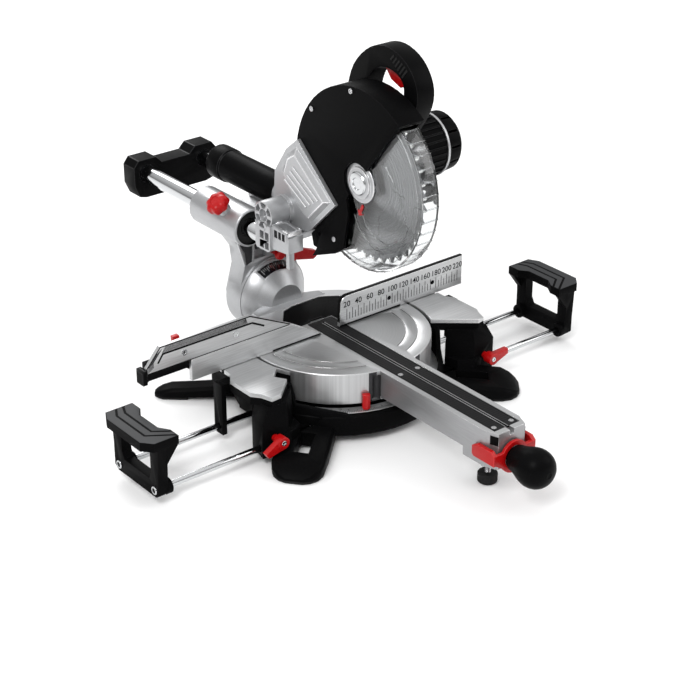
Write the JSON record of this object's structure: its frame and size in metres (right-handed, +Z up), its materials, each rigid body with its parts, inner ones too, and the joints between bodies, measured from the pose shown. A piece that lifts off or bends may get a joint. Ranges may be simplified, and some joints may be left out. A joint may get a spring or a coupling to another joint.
{
  "type": "sliding compound mitre saw",
  "caption": "Bench-top sliding compound mitre saw with fence, mitre arm, bevel joint, slide rails and rod-mounted extension supports.",
  "frame": {"origin": "on the bench, under the turntable's axis, which is the middle of the whole saw's footprint", "axes": "+X to the operator's right, along the fence; +Y away from the operator, along the slide rails; +Z up"},
  "size_m": [0.74, 0.81, 0.4981],
  "materials": {
    "cast_aluminium": "painted die cast, fine sand texture",
    "machined_aluminium": "machined, satin",
    "black_casting": "black powder coat, fine texture",
    "black_plastic": "moulded, satin",
    "support_plastic": "moulded, matt",
    "rubber": "matt",
    "chrome": "polished",
    "bare_steel": "turned",
    "blade_steel": "ground",
    "red_plastic": "moulded, semi-gloss",
    "clear_plastic": "clear polycarbonate",
    "copper": "wound copper"
  },
  "bodies": {
    "base": {"base_casting": "black_casting", "left_table_plate": "machined_aluminium", "right_table_plate": "machined_aluminium", "left_front_foot": "rubber", "left_rear_foot": "rubber", "right_front_foot": "rubber", "right_rear_foot": "rubber", "mitre_scale_ring": "machined_aluminium", "turntable_bolt": "bare_steel", "right_fence": "machined_aluminium", "left_fence_lower": "machined_aluminium"},
    "left_clamp": {"left_clamp_lever": "red_plastic"},
    "right_clamp": {"right_clamp_lever": "red_plastic"},
    "left_support": {"left_support_frame": "support_plastic", "left_front_rod": "chrome", "left_rear_rod": "chrome"},
    "right_support": {"right_support_frame": "support_plastic", "right_front_rod": "chrome", "right_rear_rod": "chrome"},
    "sliding_fence": {"left_fence_upper": "machined_aluminium", "fence_slide_rail": "black_plastic"},
    "fence_lock": {"fence_lock_lever": "red_plastic"},
    "turntable": {"turntable": "machined_aluminium", "kerf_insert": "black_plastic", "rear_cover": "black_plastic", "mitre_pointer": "red_plastic", "bevel_hub": "cast_aluminium", "bevel_bolt": "bare_steel"},
    "arm_foot": {"arm_foot": "black_plastic"},
    "mitre_handle": {"mitre_handle_grip": "black_plastic"},
    "detent": {"detent_yoke": "red_plastic"},
    "tilt": {"tilt_arm": "cast_aluminium"},
    "rail_lock": {"rail_lock_knob": "red_plastic"},
    "bevel_clamp": {"bevel_lever": "red_plastic"},
    "bevel_stop": {"bevel_pin": "red_plastic"},
    "carriage": {"left_rail": "chrome", "right_rail": "chrome", "head_bracket": "cast_aluminium", "rear_yoke": "black_plastic", "pivot_shaft": "bare_steel"},
    "lock_down": {"lock_down_pin": "red_plastic"},
    "head": {"head_arm": "cast_aluminium", "upper_guard": "black_plastic", "dust_spigot": "black_plastic", "gear_housing": "cast_aluminium", "motor_housing": "black_plastic", "motor_end_cap": "black_plastic", "cord_gland": "rubber", "handle": "black_plastic"},
    "armature": {"motor_armature": "copper"},
    "spindle_lock": {"spindle_lock_button": "red_plastic"},
    "trigger": {"trigger": "red_plastic"},
    "lock_off": {"lock_off_button": "red_plastic"},
    "blade": {"saw_blade": "blade_steel", "spindle_and_gear": "bare_steel", "inner_flange": "bare_steel", "outer_flange": "bare_steel", "blade_bolt": "bare_steel"},
    "guard": {"lower_guard": "clear_plastic", "guard_hub": "cast_aluminium"}
  },
  "joints": [
    {"name": "left_support_slide", "type": "slide", "parent": "base", "child": "left_support", "axis": [-1, 0, 0], "range_m": [-0.105, 0.02]},
    {"name": "right_support_slide", "type": "slide", "parent": "base", "child": "right_support", "axis": [1, 0, 0], "range_m": [-0.105, 0.02]},
    {"name": "left_clamp_turn", "type": "hinge", "parent": "base", "child": "left_clamp", "pos_m": [-0.18, -0.106, 0.037], "axis": [0, 1, 0], "range_deg": [0, 60]},
    {"name": "right_clamp_turn", "type": "hinge", "parent": "base", "child": "right_clamp", "pos_m": [0.18, -0.106, 0.037], "axis": [0, -1, 0], "range_deg": [0, 60]},
    {"name": "fence_slide", "type": "slide", "parent": "base", "child": "sliding_fence", "axis": [-1, 0, 0], "range_m": [-0.002, 0.055]},
    {"name": "fence_lock_turn", "type": "hinge", "parent": "sliding_fence", "child": "fence_lock", "pos_m": [-0.245, 0.017, 0.1305], "axis": [0, 1, 0], "range_deg": [0, 60]},
    {"name": "mitre", "type": "hinge", "parent": "base", "child": "turntable", "pos_m": [0, 0, 0.0925], "axis": [0, 0, 1], "range_deg": [-47, 47]},
    {"name": "arm_foot_jack", "type": "slide", "parent": "turntable", "child": "arm_foot", "axis": [0, 0, 1], "range_m": [0, 0.01]},
    {"name": "mitre_handle_twist", "type": "hinge", "parent": "turntable", "child": "mitre_handle", "pos_m": [0, -0.339, 0.057], "axis": [0, 1, 0], "range_deg": [0, 60]},
    {"name": "detent_press", "type": "hinge", "parent": "turntable", "child": "detent", "pos_m": [0, -0.31, 0.066], "axis": [1, 0, 0], "range_deg": [0, 3]},
    {"name": "bevel", "type": "hinge", "parent": "turntable", "child": "tilt", "pos_m": [0, 0.1446, 0.0925], "axis": [0, 1, 0], "range_deg": [-47, 0]},
    {"name": "rail_lock_turn", "type": "hinge", "parent": "tilt", "child": "rail_lock", "pos_m": [-0.05, 0.158, 0.214], "axis": [-0.6702, 0, 0.7422], "range_deg": [0, 180]},
    {"name": "bevel_clamp_turn", "type": "hinge", "parent": "tilt", "child": "bevel_clamp", "pos_m": [0.022, 0.128, 0.154], "axis": [0, -1, 0], "range_deg": [0, 40]},
    {"name": "bevel_stop_pull", "type": "slide", "parent": "tilt", "child": "bevel_stop", "axis": [0, -1, 0], "range_m": [0, 0.006]},
    {"name": "rail_slide", "type": "slide", "parent": "tilt", "child": "carriage", "axis": [0, -1, 0], "range_m": [-0.02, 0.14]},
    {"name": "lock_down_pull", "type": "slide", "parent": "carriage", "child": "lock_down", "axis": [1, 0, 0], "range_m": [0, 0.01]},
    {"name": "head_chop", "type": "hinge", "parent": "carriage", "child": "head", "pos_m": [0, 0.078, 0.251], "axis": [1, 0, 0], "range_deg": [0, 51], "stiffness_Nm_per_rad": 6, "springref_deg": -57.3},
    {"name": "spindle_lock_press", "type": "slide", "parent": "head", "child": "spindle_lock", "axis": [-1, 0, 0], "range_m": [0, 0.0018], "stiffness_N_per_m": 400, "springref_m": -0.002},
    {"name": "trigger_pull", "type": "hinge", "parent": "head", "child": "trigger", "pos_m": [0.04, -0.0499, 0.4735], "axis": [1, 0, 0], "range_deg": [0, 6], "stiffness_Nm_per_rad": 0.4, "springref_deg": -11.46},
    {"name": "lock_off_press", "type": "slide", "parent": "head", "child": "lock_off", "axis": [-1, 0, 0], "range_m": [0, 0.0015], "stiffness_N_per_m": 400, "springref_m": -0.002},
    {"name": "blade_spin", "type": "hinge", "parent": "head", "child": "blade", "pos_m": [0, -0.06499, 0.33002], "axis": [1, 0, 0], "continuous": true},
    {"name": "armature_spin", "type": "hinge", "parent": "head", "child": "armature", "pos_m": [0, -0.0125, 0.3288], "axis": [1, 0, 0], "continuous": true},
    {"name": "guard_swing", "type": "hinge", "parent": "head", "child": "guard", "pos_m": [0, -0.06499, 0.33002], "axis": [1, 0, 0], "range_deg": [-166, 0]}
  ],
  "couplings": [
    {"joint": "guard_swing", "follows": "head_chop", "ratio": -3.2549},
    {"joint": "armature_spin", "follows": "blade_spin", "ratio": -2.178}
  ]
}
